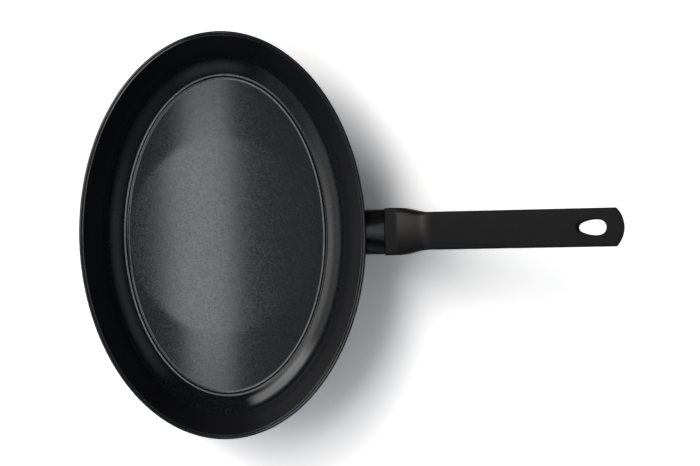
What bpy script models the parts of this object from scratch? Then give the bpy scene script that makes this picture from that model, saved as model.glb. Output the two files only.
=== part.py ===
"""Oval fish pan with one long fixed handle, taken apart as it would be on a bench.

Metres, +Z up. The origin is the middle of the base's underside. The handle
points along +X and the long axis of the oval lies along Y.
"""

import math

import bmesh
import bpy
from mathutils import Vector

# Gap between solids that touch on the real pan
GAP = 0.0003

# Pan body. An inset is measured inward from the outline of the rim
RIM_LENGTH = 0.340
RIM_WIDTH = 0.239
PAN_HEIGHT = 0.050
RIM_THICKNESS = 0.0040
RIM_OUTER_ROUND = 0.0015
RIM_INNER_ROUND = 0.0008
BASE_THICKNESS = 0.0050
COVE_RADIUS = 0.016
FLOOR_INSET = 0.036
FLOOR_RISE = 0.0006
FLOOR_EDGE_ROUND = 0.0010
GROOVE_WIDTH = 0.0034
GROOVE_DEPTH = 0.0005
BASE_INSET = 0.032
OUTER_CORNER_RADIUS = 0.018
PAN_SEGMENTS = 80

# Degrees that one facet turns through, on wide arcs, on the hang hole and on small roundings
WIDE_FACET = 10
HOLE_FACET = 16
ROUND_FACET = 30

# Edges that turn by less than this are shaded smooth
SMOOTH_BELOW = math.radians(32)

# Steel induction disc, pressed flush into the base, whose aluminium fills its holes
DISC_DIAMETER = 0.164
DISC_THICKNESS = 0.0010
DISC_HOLE_DIAMETER = 0.0050
DISC_RING_SPACING = 0.0230
DISC_RINGS = 3
DISC_HOLES_IN_FIRST_RING = 8
DISC_SEGMENTS = 72
DISC_HOLE_SIDES = 8

# Line of the handle: where it leaves the outer wall, and how steeply it climbs
ROOT_BELOW_RIM = 0.020
HANDLE_RISE = math.radians(17)

# Sleeve between the pan and the grip
GUARD_LENGTH = 0.0275
GUARD_WIDTH = 0.0380
GUARD_HEIGHT = 0.0245
GUARD_WALL = 0.0011

# Grip, moulded in one piece. Stations are measured from its front shoulder
GRIP_LENGTH = 0.1966
GRIP_FRONT_WIDTH = 0.0396
GRIP_FRONT_HEIGHT = 0.0262
GRIP_FRONT_ROUND = 0.0010
COLLAR_LENGTH = 0.0074
TAPER_END = 0.0373
WAIST_WIDTH = 0.0312
WAIST_ABOVE_AXIS = 0.0096
WAIST_BELOW_AXIS = 0.0104
END_ABOVE_AXIS = 0.0072
END_BELOW_AXIS = 0.0072
BELLY = 0.0016
END_BULGE = 0.0071
END_EDGE_ROUND = 0.0035
NOSE_LENGTH = 0.0080
NOSE_CHAMFER = 0.0008
SECTION_POWER = 2.9
SECTION_POINTS = 36
TAPER_STEPS = 7
STRAIGHT_STEPS = 6
END_STEPS = 8

# Teardrop hang hole, its narrow end towards the pan
HOLE_FROM_END = 0.0190
HOLE_WIDE_RADIUS = 0.0068
HOLE_NARROW_RADIUS = 0.0037
HOLE_SPAN = 0.0142
HOLE_LIP_ROUND = 0.0018

# Bracket that carries the handle
STEM_WIDTH = 0.0130
STEM_HEIGHT = 0.0120
SOCKET_DEPTH = 0.0065
FOOT_TO_GUARD = 0.0012
FOOT_THICKNESS = 0.0030
BRACKET_BEVEL = 0.0010

# Studs welded to the wall and peened over the foot of the bracket
STUD_DIAMETER = 0.0042
STUD_HEAD_DIAMETER = 0.0064
STUD_HEAD_EDGE = 0.0006
STUD_HEAD_DOME = 0.0012
STUD_TO_STEM = 0.0006

# Long screw from the hang hole to the bracket, with its nut and washers
SCREW_DIAMETER = 0.0050
SCREW_TIP_REACH = 0.0030
SCREW_CHAMFER = 0.0007
HEAD_DIAMETER = 0.0085
HEAD_HEIGHT = 0.0033
HEAD_DEPTH_IN_BORE = 0.0120
CROSS_SPAN = 0.0046
CROSS_WIDTH = 0.0012
CROSS_DEPTH = 0.0020
NUT_WIDTH = 0.0080
NUT_THICKNESS = 0.0027
NUT_FROM_WALL = 0.0120
FLAT_WASHER_DIAMETER = 0.0090
FLAT_WASHER_THICKNESS = 0.0010
SPRING_WASHER_DIAMETER = 0.0088
SPRING_WASHER_THICKNESS = 0.0012
SPRING_WASHER_SPLIT = math.radians(14)
SPRING_WASHER_LIFT = 0.0003
SPRING_WASHER_STEPS = 20
BORE_SIDES = 16


def arc(centre, radius, start, end, facet=ROUND_FACET):
    """Points on an arc, angles in degrees, both ends included."""
    steps = math.ceil(abs(end - start) / facet)
    angles = [math.radians(start + (end - start) * i / steps) for i in range(steps + 1)]
    return [(centre[0] + radius * math.cos(a), centre[1] + radius * math.sin(a)) for a in angles]


def touch_angle(point, centre, radius):
    """Angle in degrees at which a line from point touches the far lower side of a circle."""
    away = (point[0] - centre[0], point[1] - centre[1])
    return math.degrees(math.atan2(away[1], away[0]) + math.acos(radius / math.hypot(*away)))


def rim_outer_edge():
    return (0.0, PAN_HEIGHT - RIM_OUTER_ROUND)


def outer_corner_centre():
    return (BASE_INSET, OUTER_CORNER_RADIUS)


def outer_touch_angle():
    return touch_angle(rim_outer_edge(), outer_corner_centre(), OUTER_CORNER_RADIUS)


def wall_lean():
    """How far the straight outer wall leans out from the vertical, in radians."""
    return math.radians(outer_touch_angle() - 180)


def outer_side():
    """Outside of the pan from the base's edge to the rim, as (inset, height)."""
    corner = arc(outer_corner_centre(), OUTER_CORNER_RADIUS, 270, outer_touch_angle(), WIDE_FACET)
    return corner + [rim_outer_edge()]


def rim_top():
    """Over the rim: a wide outer rounding, a flat and a tight inner rounding."""
    edge = rim_outer_edge()
    outer = arc((RIM_OUTER_ROUND, edge[1]), RIM_OUTER_ROUND, 180, 90)
    inner_centre = (RIM_THICKNESS - RIM_INNER_ROUND, PAN_HEIGHT - RIM_INNER_ROUND)
    inner = arc(inner_centre, RIM_INNER_ROUND, 90, 0)
    return outer[1:] + inner


def inner_side():
    """Inside of the pan from the rim down the wall, round the cove and the groove to the floor."""
    wall_top = (RIM_THICKNESS, PAN_HEIGHT - RIM_INNER_ROUND)
    groove_start = FLOOR_INSET - GROOVE_WIDTH
    centre = (groove_start, BASE_THICKNESS + COVE_RADIUS)
    cove = arc(centre, COVE_RADIUS, touch_angle(wall_top, centre, COVE_RADIUS), 270, WIDE_FACET)
    groove_height = BASE_THICKNESS - GROOVE_DEPTH
    groove = [
        (groove_start + GROOVE_DEPTH, groove_height),
        (FLOOR_INSET - FLOOR_EDGE_ROUND - GROOVE_DEPTH / 2, groove_height),
    ]
    edge_centre = (FLOOR_INSET, BASE_THICKNESS + FLOOR_RISE - FLOOR_EDGE_ROUND)
    return cove + groove + arc(edge_centre, FLOOR_EDGE_ROUND, 180, 90)


def root_point():
    """Where the handle's axis meets the outer wall."""
    height = PAN_HEIGHT - ROOT_BELOW_RIM
    inset = (rim_outer_edge()[1] - height) * math.tan(wall_lean())
    return Vector((RIM_WIDTH / 2 - inset, 0, height))


def shade(obj):
    obj.data.shade_smooth()
    obj.data.set_sharp_from_angle(angle=SMOOTH_BELOW)


def add_object(name, bm, parent=None):
    """Turns a bmesh into an object of the scene, its faces pointing out."""
    bmesh.ops.recalc_face_normals(bm, faces=bm.faces)
    mesh = bpy.data.meshes.new(name)
    bm.to_mesh(mesh)
    bm.free()
    obj = bpy.data.objects.new(name, mesh)
    bpy.context.scene.collection.objects.link(obj)
    obj.parent = parent
    shade(obj)
    return obj


def as_helper(obj):
    obj.hide_render = True
    obj.display_type = "WIRE"
    return obj


def combine(obj, other, operation="DIFFERENCE"):
    modifier = obj.modifiers.new(f"{operation.lower()} {other.name}", "BOOLEAN")
    modifier.operation = operation
    modifier.object = other


def frame(name, location, turn_about_y):
    """Empty that carries pieces whose own X axis points along it."""
    empty = bpy.data.objects.new(name, None)
    empty.empty_display_size = GUARD_LENGTH
    empty.location = location
    empty.rotation_euler = (0, turn_about_y, 0)
    bpy.context.scene.collection.objects.link(empty)
    return empty


def spun(name, profile, steps, closed=False, axis="X", parent=None):
    """Solid of revolution of (radius, station) points. An open profile gets a flat cap at each end."""
    bm = bmesh.new()
    places = {"X": lambda r, s: (s, r, 0), "Z": lambda r, s: (r, 0, s)}
    corners = [bm.verts.new(places[axis](*point)) for point in profile]
    pairs = list(zip(corners, corners[1:]))
    if closed:
        pairs.append((corners[-1], corners[0]))
    edges = [bm.edges.new(pair) for pair in pairs]
    direction = Vector((1, 0, 0)) if axis == "X" else Vector((0, 0, 1))
    bmesh.ops.spin(
        bm, geom=corners + edges, cent=(0, 0, 0), axis=direction, angle=math.tau, steps=steps, use_merge=True
    )
    bmesh.ops.holes_fill(bm, edges=[edge for edge in bm.edges if edge.is_boundary], sides=0)
    return add_object(name, bm, parent)


def lofted(name, rings, closed=False, parent=None):
    """Skin over rings of equally many points: capped at both ends, or closed into a tube."""
    bm = bmesh.new()
    loops = [[bm.verts.new(point) for point in ring] for ring in rings]
    following = loops[1:] + loops[:1] if closed else loops[1:]
    for near, far in zip(loops, following):
        for i in range(len(near)):
            j = (i + 1) % len(near)
            bm.faces.new((near[i], near[j], far[j], far[i]))
    if not closed:
        bm.faces.new(loops[0])
        bm.faces.new(loops[-1])
    return add_object(name, bm, parent)


def block(name, low, high, bevel=0.0, parent=None):
    """Box between two corners, its edges cut back by bevel."""
    bm = bmesh.new()
    bmesh.ops.create_cube(bm, size=1)
    low, high = Vector(low), Vector(high)
    bmesh.ops.scale(bm, vec=high - low, verts=bm.verts)
    bmesh.ops.translate(bm, vec=(low + high) / 2, verts=bm.verts)
    if bevel:
        bmesh.ops.bevel(bm, geom=bm.edges, offset=bevel, segments=1, affect="EDGES")
    return add_object(name, bm, parent)


def lengthened(obj):
    """Turns a round pan as wide as this one into the oval, keeping every inset from the outline."""
    extra = (RIM_LENGTH - RIM_WIDTH) / 2
    for vertex in obj.data.vertices:
        vertex.co.y += extra * vertex.co.y / math.hypot(vertex.co.x, vertex.co.y)
    return obj


def oval(name, profile):
    """The oval solid with this outline of (inset, height) points."""
    return lengthened(spun(name, [(RIM_WIDTH / 2 - inset, z) for inset, z in profile], PAN_SEGMENTS, axis="Z"))


def disc_holes(name, diameter):
    """The pins that fill the holes of the induction disc, as one helper."""
    bm = bmesh.new()
    for ring in range(1, DISC_RINGS + 1):
        count = DISC_HOLES_IN_FIRST_RING * ring
        for i in range(count):
            turn = math.tau * (i + 0.5 * (ring % 2)) / count
            made = bmesh.ops.create_cone(
                bm, cap_ends=True, segments=DISC_HOLE_SIDES,
                radius1=diameter / 2, radius2=diameter / 2, depth=4 * DISC_THICKNESS
            )
            place = Vector((math.cos(turn), math.sin(turn), 0)) * DISC_RING_SPACING * ring
            bmesh.ops.translate(bm, vec=place, verts=made["verts"])
    return as_helper(add_object(name, bm))


def round_plate(name, radius, bottom, top):
    return spun(name, [(radius, bottom), (radius, top)], DISC_SEGMENTS, axis="Z")


def make_base_disc():
    disc = round_plate("base_disc", DISC_DIAMETER / 2, 0, DISC_THICKNESS)
    combine(disc, disc_holes("disc_holes", DISC_HOLE_DIAMETER))
    return disc


def make_pan_body():
    body = oval("pan_body", outer_side() + rim_top() + inner_side())
    recess = as_helper(
        round_plate("disc_recess", DISC_DIAMETER / 2 + GAP, -DISC_THICKNESS, DISC_THICKNESS + GAP)
    )
    combine(recess, disc_holes("disc_pins", DISC_HOLE_DIAMETER - 2 * GAP))
    combine(body, recess)
    return body


def make_wall_trim():
    """The pan's outside grown by the gap and carried above the rim: it trims what sits on the wall."""
    clear = GAP / math.cos(wall_lean())
    side = [(inset - clear, height) for inset, height in outer_side()]
    return as_helper(oval("wall_trim", side + [(-clear, PAN_HEIGHT + GUARD_HEIGHT)]))


def section(station, half_width, above, below):
    """Cross-section of the handle: a full, rounded oval, which may be deeper on one side of the axis."""
    points = []
    for i in range(SECTION_POINTS):
        turn = math.tau * i / SECTION_POINTS
        across, up = math.cos(turn), math.sin(turn)
        reach = above if up >= 0 else below
        points.append((
            station,
            half_width * math.copysign(abs(across) ** (2 / SECTION_POWER), across),
            reach * math.copysign(abs(up) ** (2 / SECTION_POWER), up),
        ))
    return points


def even_section(station, width, height, inset=0.0):
    return section(station, width / 2 - inset, height / 2 - inset, height / 2 - inset)


def behind_wall():
    """A station well inside the pan, from where the trim cuts a piece back to the wall."""
    return -2 * GUARD_LENGTH


def make_flame_guard(handle, trim):
    front, back = -GAP, behind_wall()
    rings = [
        even_section(front, GUARD_WIDTH, GUARD_HEIGHT),
        even_section(back, GUARD_WIDTH, GUARD_HEIGHT),
        even_section(back, GUARD_WIDTH, GUARD_HEIGHT, GUARD_WALL),
        even_section(front, GUARD_WIDTH, GUARD_HEIGHT, GUARD_WALL),
    ]
    guard = lofted("flame_guard", rings, closed=True, parent=handle)
    combine(guard, trim)
    return guard


def ease(share):
    share = min(max(share, 0.0), 1.0)
    return share * share * (3 - 2 * share)


def end_radius():
    """Radius of the rounded end, seen from above."""
    half = WAIST_WIDTH / 2
    return (half**2 + END_BULGE**2) / (2 * END_BULGE)


def grip_size(station):
    """Half width, and reach above and below the axis, at a station of the grip."""
    taper = ease((station - COLLAR_LENGTH) / (TAPER_END - COLLAR_LENGTH))
    along = max(station - TAPER_END, 0) / (GRIP_LENGTH - TAPER_END)
    half_width = (GRIP_FRONT_WIDTH + (WAIST_WIDTH - GRIP_FRONT_WIDTH) * taper) / 2
    waist_above = WAIST_ABOVE_AXIS + (END_ABOVE_AXIS - WAIST_ABOVE_AXIS) * along
    waist_below = WAIST_BELOW_AXIS + (END_BELOW_AXIS - WAIST_BELOW_AXIS) * along
    waist_below += BELLY * math.sin(math.pi * along)
    front = GRIP_FRONT_HEIGHT / 2
    above = front + (waist_above - front) * taper
    below = front + (waist_below - front) * taper
    from_arc_centre = station - (GRIP_LENGTH - end_radius())
    if from_arc_centre > 0:
        half_width = min(half_width, math.sqrt(end_radius() ** 2 - from_arc_centre**2))
    from_edge = (station - (GRIP_LENGTH - END_EDGE_ROUND)) / END_EDGE_ROUND
    if from_edge > 0:
        fall = math.sqrt(1 - from_edge**2)
        above, below = above * fall, below * fall
    return half_width, above, below


def grip_stations():
    """Stations of the grip, closest where its outline turns fastest."""
    taper_length = TAPER_END - COLLAR_LENGTH
    taper = [COLLAR_LENGTH + taper_length * i / TAPER_STEPS for i in range(TAPER_STEPS + 1)]
    straight_length = GRIP_LENGTH - END_BULGE - TAPER_END
    straight = [TAPER_END + straight_length * i / STRAIGHT_STEPS for i in range(1, STRAIGHT_STEPS)]
    corner_angle = math.asin(WAIST_WIDTH / 2 / end_radius())
    angles = [corner_angle * (1 - i / END_STEPS) for i in range(END_STEPS)]
    rounded_end = [GRIP_LENGTH - end_radius() * (1 - math.cos(angle)) for angle in angles]
    return [GRIP_FRONT_ROUND] + taper + straight + rounded_end


def make_grip_solid(handle):
    """Nose that enters the sleeve, the shoulder that meets it, and the grip behind."""
    nose_inset = GUARD_WALL + GAP
    front_size = (GRIP_FRONT_WIDTH, GRIP_FRONT_HEIGHT)
    guard_size = (GUARD_WIDTH, GUARD_HEIGHT)
    rings = [
        even_section(-NOSE_LENGTH, *guard_size, nose_inset + NOSE_CHAMFER),
        even_section(NOSE_CHAMFER - NOSE_LENGTH, *guard_size, nose_inset),
        even_section(0, *guard_size, nose_inset),
        even_section(0, *front_size, GRIP_FRONT_ROUND),
    ]
    rings += [section(station, *grip_size(station)) for station in grip_stations()]
    return lofted("handle_grip", rings, parent=handle)


def hole_centres():
    """Stations of the wide and the narrow end's centres."""
    wide = GRIP_LENGTH - HOLE_FROM_END
    return wide, wide - HOLE_SPAN


def hole_outline(height, spread):
    """Teardrop round the hang hole at this height above the axis, grown by spread."""
    wide, narrow = hole_centres()
    splay = math.degrees(math.asin((HOLE_WIDE_RADIUS - HOLE_NARROW_RADIUS) / HOLE_SPAN))
    wide_end = arc((wide, 0), HOLE_WIDE_RADIUS + spread, -90 - splay, 90 + splay, HOLE_FACET)
    narrow_end = arc((narrow, 0), HOLE_NARROW_RADIUS + spread, 90 + splay, 270 - splay, HOLE_FACET)
    return [(x, y, height) for x, y in wide_end + narrow_end]


def make_hang_hole(handle):
    """Cutter for the hang hole, flared where its lip is rounded."""
    _, above, below = grip_size(hole_centres()[0])
    lip = arc((HOLE_LIP_ROUND, HOLE_LIP_ROUND), HOLE_LIP_ROUND, 270, 180)
    lower = [hole_outline(depth - below, spread) for depth, spread in reversed(lip)]
    upper = [hole_outline(above - depth, spread) for depth, spread in lip]
    under = hole_outline(-2 * below, HOLE_LIP_ROUND)
    over = hole_outline(2 * above, HOLE_LIP_ROUND)
    return as_helper(lofted("hang_hole", [under] + lower + upper + [over], parent=handle))


def bore_radius():
    return SCREW_DIAMETER / 2 + GAP


def counterbore_radius():
    return max(HEAD_DIAMETER, FLAT_WASHER_DIAMETER, SPRING_WASHER_DIAMETER) / 2 + GAP


def seat_station():
    """Bottom of the counterbore, where the washers sit."""
    return hole_centres()[1] - HOLE_NARROW_RADIUS - HEAD_DEPTH_IN_BORE


def nut_station():
    return NUT_FROM_WALL - GUARD_LENGTH


def screw_tip_station():
    return nut_station() - NUT_THICKNESS / 2 - SCREW_TIP_REACH


def make_screw_bore(handle):
    """Cutter for the screw's way through bracket and grip, with the counterbore for its head."""
    start = screw_tip_station() - GAP
    seat = seat_station()
    profile = [
        (bore_radius(), start),
        (bore_radius(), seat),
        (counterbore_radius(), seat),
        (counterbore_radius(), hole_centres()[1]),
    ]
    return as_helper(spun("screw_bore", profile, BORE_SIDES, parent=handle))


def make_handle_grip(handle, screw_bore):
    grip = make_grip_solid(handle)
    half_width, half_height = STEM_WIDTH / 2 + GAP, STEM_HEIGHT / 2 + GAP
    socket = block(
        "stem_socket",
        (-2 * NOSE_LENGTH, -half_width, -half_height),
        (SOCKET_DEPTH + GAP, half_width, half_height),
        parent=handle,
    )
    combine(grip, as_helper(socket))
    combine(grip, make_hang_hole(handle))
    combine(grip, screw_bore)
    return grip


def stud_places():
    """How far to the side each stud stands, its head just clear of the stem."""
    offset = STEM_WIDTH / 2 + STUD_TO_STEM + STUD_HEAD_DIAMETER / 2
    return {"weld_stud_left": offset, "weld_stud_right": -offset}


def make_foot(handle, wall):
    """The bracket's foot: a plate along the wall, its outline following the inside of the sleeve."""
    inset = GUARD_WALL + FOOT_TO_GUARD
    rings = [even_section(station, GUARD_WIDTH, GUARD_HEIGHT, inset) for station in (behind_wall(), 0)]
    foot = as_helper(lofted("bracket_foot", rings, parent=handle))
    reach = 2 * GUARD_HEIGHT
    plate = block(
        "foot_plate",
        (-FOOT_THICKNESS, -reach, -reach),
        (FOOT_THICKNESS + GAP, reach, reach),
        parent=wall,
    )
    combine(foot, as_helper(plate), "INTERSECT")
    return foot


def make_handle_bracket(handle, wall, trim, screw_bore):
    """Cast bracket: a foot that follows the wall and a stem that enters the grip."""
    bracket = block(
        "handle_bracket",
        (behind_wall(), -STEM_WIDTH / 2, -STEM_HEIGHT / 2),
        (SOCKET_DEPTH, STEM_WIDTH / 2, STEM_HEIGHT / 2),
        BRACKET_BEVEL,
        handle,
    )
    combine(bracket, make_foot(handle, wall), "UNION")
    combine(bracket, trim)
    combine(bracket, screw_bore)
    slot_half = NUT_WIDTH / 2 + GAP
    slot = block(
        "nut_slot",
        (nut_station() - NUT_THICKNESS / 2 - GAP, -slot_half, -slot_half),
        (nut_station() + NUT_THICKNESS / 2 + GAP, slot_half, STEM_HEIGHT),
        parent=handle,
    )
    combine(bracket, as_helper(slot))
    for name, side in stud_places().items():
        reach = 2 * FOOT_THICKNESS
        hole = spun(
            f"{name}_hole",
            [(STUD_DIAMETER / 2 + GAP, -reach), (STUD_DIAMETER / 2 + GAP, reach)],
            BORE_SIDES,
            parent=wall,
        )
        hole.location.y = side
        combine(bracket, as_helper(hole))
    return bracket


def make_weld_studs(wall, trim):
    """Each stud stands on the wall, passes through the foot and ends in a peened head."""
    seat = FOOT_THICKNESS + 2 * GAP
    dome_start = seat + STUD_HEAD_EDGE
    profile = [
        (STUD_DIAMETER / 2, -FOOT_THICKNESS),
        (STUD_DIAMETER / 2, seat),
        (STUD_HEAD_DIAMETER / 2, seat),
    ]
    quarter = arc((0, 0), 1, 0, 90)
    profile += [
        (STUD_HEAD_DIAMETER / 2 * across, dome_start + STUD_HEAD_DOME * up) for across, up in quarter[:-1]
    ]
    studs = []
    for name, side in stud_places().items():
        stud = spun(name, profile, BORE_SIDES, parent=wall)
        stud.location.y = side
        combine(stud, trim)
        studs.append(stud)
    return studs


def make_square_nut(handle, screw_bore):
    half = NUT_WIDTH / 2
    nut = block(
        "square_nut",
        (nut_station() - NUT_THICKNESS / 2, -half, -half),
        (nut_station() + NUT_THICKNESS / 2, half, half),
        parent=handle,
    )
    combine(nut, screw_bore)
    return nut


def washer_stations():
    """Where the flat washer, the spring washer and the screw's head start, in that order."""
    flat = seat_station() + GAP
    spring = flat + FLAT_WASHER_THICKNESS + GAP
    head = spring + SPRING_WASHER_THICKNESS + SPRING_WASHER_LIFT + GAP
    return flat, spring, head


def make_flat_washer(handle):
    start = washer_stations()[0]
    end = start + FLAT_WASHER_THICKNESS
    outer = FLAT_WASHER_DIAMETER / 2
    profile = [(bore_radius(), start), (outer, start), (outer, end), (bore_radius(), end)]
    return spun("flat_washer", profile, BORE_SIDES, closed=True, parent=handle)


def make_spring_washer(handle):
    """Ring cut through on one side, its ends sprung apart along the screw."""
    start = washer_stations()[1]
    inner, outer = bore_radius(), SPRING_WASHER_DIAMETER / 2
    rings = []
    for i in range(SPRING_WASHER_STEPS + 1):
        share = i / SPRING_WASHER_STEPS
        turn = SPRING_WASHER_SPLIT / 2 + (math.tau - SPRING_WASHER_SPLIT) * share
        low = start + SPRING_WASHER_LIFT * share
        high = low + SPRING_WASHER_THICKNESS
        corners = [(low, inner), (low, outer), (high, outer), (high, inner)]
        rings.append([(x, radius * math.cos(turn), radius * math.sin(turn)) for x, radius in corners])
    return lofted("spring_washer", rings, parent=handle)


def cross_outline(station):
    arm, half = CROSS_SPAN / 2, CROSS_WIDTH / 2
    quarter = [(arm, -half), (arm, half), (half, half)]
    points = []
    for turn in range(4):
        for y, z in quarter:
            for _ in range(turn):
                y, z = -z, y
            points.append((station, y, z))
    return points


def make_handle_screw(handle):
    """Long machine screw with a cheese head and a cross recess."""
    head = washer_stations()[2]
    top = head + HEAD_HEIGHT
    tip = screw_tip_station()
    radius, head_radius = SCREW_DIAMETER / 2, HEAD_DIAMETER / 2
    profile = [
        (radius - SCREW_CHAMFER, tip),
        (radius, tip + SCREW_CHAMFER),
        (radius, head),
        (head_radius, head),
        (head_radius, top - SCREW_CHAMFER),
        (head_radius - SCREW_CHAMFER, top),
    ]
    screw = spun("handle_screw", profile, BORE_SIDES, parent=handle)
    rings = [cross_outline(top - CROSS_DEPTH), cross_outline(top + CROSS_DEPTH)]
    combine(screw, as_helper(lofted("cross_recess", rings, parent=handle)))
    return screw


def paint(objects, name, colour, roughness, metallic=0.0):
    material = bpy.data.materials.new(name)
    material.use_nodes = True
    material.diffuse_color = (*colour, 1)
    shader = material.node_tree.nodes["Principled BSDF"]
    shader.inputs["Base Color"].default_value = (*colour, 1)
    shader.inputs["Roughness"].default_value = roughness
    shader.inputs["Metallic"].default_value = metallic
    for obj in objects:
        obj.data.materials.append(material)


def main():
    for obj in list(bpy.data.objects):
        bpy.data.objects.remove(obj)
    root = root_point()
    wall = frame("wall_frame", root, wall_lean())
    along = Vector((math.cos(HANDLE_RISE), 0, math.sin(HANDLE_RISE)))
    handle = frame("handle_frame", root + GUARD_LENGTH * along, -HANDLE_RISE)
    trim = make_wall_trim()
    screw_bore = make_screw_bore(handle)

    paint([make_pan_body()], "black non-stick coating", (0.017, 0.018, 0.021), 0.38)
    paint([make_base_disc()], "ground stainless steel", (0.56, 0.55, 0.53), 0.32, 1.0)
    paint([make_flame_guard(handle, trim)], "black satin paint", (0.012, 0.012, 0.013), 0.30)
    paint([make_handle_grip(handle, screw_bore)], "soft-touch black", (0.016, 0.016, 0.016), 0.52)
    paint([make_handle_bracket(handle, wall, trim, screw_bore)], "cast aluminium", (0.60, 0.61, 0.62), 0.45, 1.0)
    paint(make_weld_studs(wall, trim), "bright aluminium", (0.74, 0.75, 0.76), 0.30, 1.0)
    zinc_plated = [
        make_square_nut(handle, screw_bore),
        make_flat_washer(handle),
        make_spring_washer(handle),
        make_handle_screw(handle),
    ]
    paint(zinc_plated, "zinc-plated steel", (0.62, 0.63, 0.62), 0.28, 1.0)


main()
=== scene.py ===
"""Looks of the fish pan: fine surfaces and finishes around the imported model.

Metres, +Z up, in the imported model's frame. The handle points along +X. An inset
is measured inward from the outline of the rim, and a station along the handle
from the front shoulder of the grip.
"""

import math

import bmesh
import bpy
from mathutils import Matrix, Vector


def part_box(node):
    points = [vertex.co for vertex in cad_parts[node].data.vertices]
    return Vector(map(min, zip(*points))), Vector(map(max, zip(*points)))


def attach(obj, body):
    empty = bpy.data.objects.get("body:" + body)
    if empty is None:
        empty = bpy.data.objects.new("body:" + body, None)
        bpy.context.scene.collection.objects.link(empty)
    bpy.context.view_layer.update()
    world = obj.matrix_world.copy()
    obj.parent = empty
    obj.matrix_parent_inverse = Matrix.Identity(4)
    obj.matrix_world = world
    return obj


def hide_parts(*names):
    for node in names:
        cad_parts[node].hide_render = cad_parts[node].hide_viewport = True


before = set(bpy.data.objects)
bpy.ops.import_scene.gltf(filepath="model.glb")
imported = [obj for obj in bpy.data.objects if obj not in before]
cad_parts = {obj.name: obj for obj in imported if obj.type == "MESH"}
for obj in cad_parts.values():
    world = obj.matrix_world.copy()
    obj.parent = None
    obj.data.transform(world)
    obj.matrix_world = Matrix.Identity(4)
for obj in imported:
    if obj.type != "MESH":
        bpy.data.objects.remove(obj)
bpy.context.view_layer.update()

# Half the rim's width and length, and the pan's height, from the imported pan
HALF_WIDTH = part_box("pan_body")[1].x
HALF_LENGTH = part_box("pan_body")[1].y
PAN_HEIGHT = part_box("pan_body")[1].z

# Rim: an outer bead, a shallow valley and a tighter inner bead
OUTER_BEAD_RADIUS = 0.00140
INNER_BEAD_RADIUS = 0.00070
INNER_BEAD_INSET = 0.00350
INNER_BEAD_BELOW_TOP = 0.00015
VALLEY_INSET = 0.00245
VALLEY_BELOW_TOP = 0.00060
OUTER_EDGE_BELOW_RIM = 0.0015
OUTER_BEAD_END = math.radians(60)
INNER_BEAD_START = math.radians(120)

# Base, and the corner between it and the outside of the wall
BASE_THICKNESS = 0.0050
BASE_INSET = 0.032
OUTER_CORNER_RADIUS = 0.018

# Inside the pan, from the rim inward: wall, fillet, gently hollow cove, narrow ledge, groove, and
# the raised floor, which has a sloping band along its rounded edge
FILLET_RADIUS = 0.006
FILLET_END_SLOPE = math.radians(44)
COVE_RADIUS = 0.038
COVE_END_INSET = 0.0319
COVE_END_SLOPE = math.radians(20)
COVE_END_ABOVE_BASE = 0.00005
LEDGE_ROUND = 0.0006
LEDGE_SLOPE = math.radians(1.0)
LEDGE_END_INSET = 0.03365
GROOVE_ROUND = 0.00025
GROOVE_DROP_SLOPE = math.radians(40)
GROOVE_RISE_SLOPE = math.radians(48)
FLOOR_EDGE_ROUND = 0.0015
FLOOR_INSET = 0.03525
FLOOR_RISE = 0.0006
FLOOR_EDGE_SLOPE = 0.027
FLOOR_EDGE_WIDTH = 0.0011
FLOOR_EDGE_FADE = 0.0006
EDGE_ZONE_INSET = 0.040

# The round zone of the floor over the disc is pressed slightly hollow
DISH_RADIUS = 0.0835
DISH_DEPTH = 0.00037
DISH_CENTRE_X = -0.0016
DISH_SOFTNESS = 0.06

# Fineness of the pan's mesh, and what every mesh shares
PAN_SEGMENTS = 320
WIDE_FACET = math.radians(1.6)
TIGHT_FACET = math.radians(12)
OUTER_WALL_STEPS = 14
INNER_WALL_STEPS = 16
LEDGE_STEPS = 8
EDGE_ZONE_RINGS = 24
FLOOR_RINGS = 84
BASE_RINGS = 8
WELD_DISTANCE = 1e-7
SHARP_ABOVE = math.radians(38)

# Disc under the base
DISC_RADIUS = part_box("base_disc")[1].x
DISC_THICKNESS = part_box("base_disc")[1].z
DISC_HOLE_RADIUS = 0.0025
DISC_RING_SPACING = 0.0230
DISC_RINGS = 3
DISC_HOLES_IN_FIRST_RING = 8
DISC_FIT = 0.00005
DISC_CHAMFER = 0.00015
HOLE_SEGMENTS = 24

# Line of the handle, and the gap between pieces that fit into each other
ROOT_BELOW_RIM = 0.020
HANDLE_RISE = math.radians(17)
GAP = 0.0003

# Sleeve between pan and grip
GUARD_LENGTH = 0.0275
GUARD_WIDTH = 0.0380
GUARD_HEIGHT = 0.0245
GUARD_WALL = 0.0011
GUARD_TO_PAN = 0.0001
GUARD_LIP_ROUND = 0.0004
RISE_AT_PAN = 0.20
RISE_AT_GRIP = -0.118
GUARD_STEPS = 10
GUARD_LIP_STEPS = 3
WALL_HALVINGS = 40

# Grip
GRIP_LENGTH = 0.1951
GRIP_FRONT_WIDTH = 0.0396
GRIP_FRONT_HEIGHT = 0.0262
GRIP_FRONT_ROUND = 0.0006
COLLAR_LENGTH = 0.0101
SLIMMING_START = 0.0108
TAPER_END = 0.0350
TAPER_SOFT_SHARE = 0.30
WAIST_WIDTH = 0.0316
WAIST_ABOVE_AXIS = 0.0096
WAIST_BELOW_AXIS = 0.0104
END_ABOVE_AXIS = 0.0055
END_BELOW_AXIS = 0.0068
BELLY = 0.0016
END_BULGE = 0.0063
END_EDGE_ROUND = 0.0010
NOSE_LENGTH = 0.0080
NOSE_CHAMFER = 0.0008
COLLAR_STEPS = 6
TAPER_STEPS = 40
RUN_STEPS = 110
END_STEPS = 48
SHOULDER_STEPS = 4

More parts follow.
